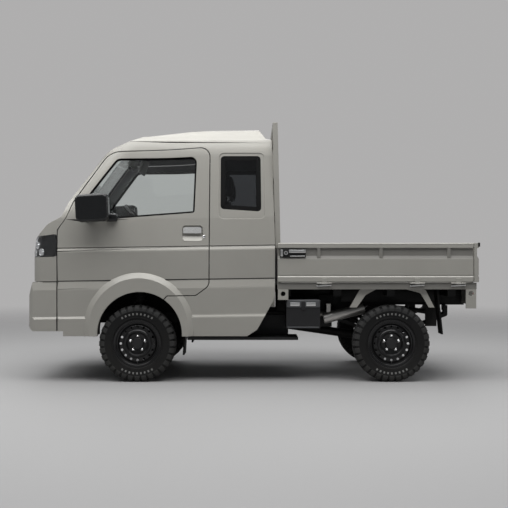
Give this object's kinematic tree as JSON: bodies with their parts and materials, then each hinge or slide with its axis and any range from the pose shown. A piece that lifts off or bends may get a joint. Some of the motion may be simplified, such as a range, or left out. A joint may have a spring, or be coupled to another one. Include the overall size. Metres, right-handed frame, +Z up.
{
  "type": "kei truck",
  "caption": "Small cab-over drop-side truck with an extended cab, opening doors, fold-down bed gates, steered front wheels and steel rims.",
  "frame": {"origin": "on the ground under the middle of the bounding box", "axes": "+X forward, +Y to the left side, +Z up"},
  "size_m": [3.3945, 1.78, 1.945],
  "materials": {
    "body_paint": "metallic gloss",
    "glass": "gloss",
    "tyre": "matte",
    "wheel_steel": "satin",
    "lamp_lens": "gloss",
    "tail_lens": "gloss",
    "seat_cloth": "matte",
    "trim_plastic": "matte",
    "black_plastic": "satin",
    "bright_trim": "gloss",
    "rubber_sheet": "matte",
    "silencer_steel": "satin",
    "floor_trim": "matte",
    "underbody_steel": "satin"
  },
  "bodies": {
    "chassis": {"back_glass": "glass", "battery_box": "black_plastic", "bed_floor": "body_paint", "cab_back_wall": "body_paint", "cab_floor": "floor_trim", "cab_front_panel": "body_paint", "cab_roof": "body_paint", "cab_side_left": "body_paint", "cab_side_right": "body_paint", "dashboard": "trim_plastic", "engine": "underbody_steel", "front_bumper": "body_paint", "front_crossmember": "underbody_steel", "front_grille": "black_plastic", "front_struts": "underbody_steel", "fuel_tank": "black_plastic", "guard_frame": "body_paint", "headlamps": "lamp_lens", "ladder_frame": "underbody_steel", "lashing_brackets": "body_paint", "leaf_springs": "underbody_steel", "mudflaps": "rubber_sheet", "propeller_shaft": "underbody_steel", "quarter_glass": "glass", "rear_arches": "body_paint", "rear_axle": "underbody_steel", "seats": "seat_cloth", "silencer": "silencer_steel", "steering_wheel": "trim_plastic", "tail_bar": "body_paint", "tail_lamps": "tail_lens", "undercover": "black_plastic", "windscreen": "glass"},
    "door_left": {"door_left": "body_paint", "door_glass_left": "glass", "mirror_left": "black_plastic", "door_handle_left": "bright_trim"},
    "door_right": {"door_right": "body_paint", "door_glass_right": "glass", "mirror_right": "black_plastic", "door_handle_right": "bright_trim"},
    "side_gate_left": {"side_gate_left": "body_paint"},
    "side_gate_right": {"side_gate_right": "body_paint"},
    "tailgate": {"tailgate": "body_paint"},
    "knuckle_left": {"knuckle_left": "underbody_steel"},
    "knuckle_right": {"knuckle_right": "underbody_steel"},
    "wheel_front_left": {"wheel_front_left": "wheel_steel", "tyre_front_left": "tyre"},
    "wheel_front_right": {"wheel_front_right": "wheel_steel", "tyre_front_right": "tyre"},
    "wheel_rear_left": {"wheel_rear_left": "wheel_steel", "tyre_rear_left": "tyre"},
    "wheel_rear_right": {"wheel_rear_right": "wheel_steel", "tyre_rear_right": "tyre"}
  },
  "joints": [
    {"name": "door_left_hinge", "type": "hinge", "parent": "chassis", "child": "door_left", "pos_m": [1.447, 0.708, 0.9], "axis": [0, 0, -1], "range_deg": [0, 65]},
    {"name": "door_right_hinge", "type": "hinge", "parent": "chassis", "child": "door_right", "pos_m": [1.447, -0.708, 0.9], "axis": [0, 0, 1], "range_deg": [0, 65]},
    {"name": "side_gate_left_hinge", "type": "hinge", "parent": "chassis", "child": "side_gate_left", "pos_m": [-0.9, 0.7375, 0.738], "axis": [-1, 0, 0], "range_deg": [0, 178]},
    {"name": "side_gate_right_hinge", "type": "hinge", "parent": "chassis", "child": "side_gate_right", "pos_m": [-0.9, -0.7375, 0.738], "axis": [1, 0, 0], "range_deg": [0, 178]},
    {"name": "tailgate_hinge", "type": "hinge", "parent": "chassis", "child": "tailgate", "pos_m": [-1.69, 0, 0.738], "axis": [0, -1, 0], "range_deg": [0, 178]},
    {"name": "steer_left", "type": "hinge", "parent": "chassis", "child": "knuckle_left", "pos_m": [0.862, 0.56, 0.287], "axis": [0, -0.1822, 0.9833], "range_deg": [-33, 33]},
    {"name": "steer_right", "type": "hinge", "parent": "chassis", "child": "knuckle_right", "pos_m": [0.862, -0.56, 0.287], "axis": [0, 0.1822, 0.9833], "range_deg": [-33, 33]},
    {"name": "wheel_front_left_spin", "type": "hinge", "parent": "knuckle_left", "child": "wheel_front_left", "pos_m": [0.862, 0.64, 0.287], "axis": [0, 1, 0], "continuous": true},
    {"name": "wheel_front_right_spin", "type": "hinge", "parent": "knuckle_right", "child": "wheel_front_right", "pos_m": [0.862, -0.64, 0.287], "axis": [0, 1, 0], "continuous": true},
    {"name": "wheel_rear_left_spin", "type": "hinge", "parent": "chassis", "child": "wheel_rear_left", "pos_m": [-1.043, 0.64, 0.287], "axis": [0, 1, 0], "continuous": true},
    {"name": "wheel_rear_right_spin", "type": "hinge", "parent": "chassis", "child": "wheel_rear_right", "pos_m": [-1.043, -0.64, 0.287], "axis": [0, 1, 0], "continuous": true}
  ],
  "couplings": [
    {"joint": "steer_right", "follows": "steer_left", "ratio": 1}
  ]
}
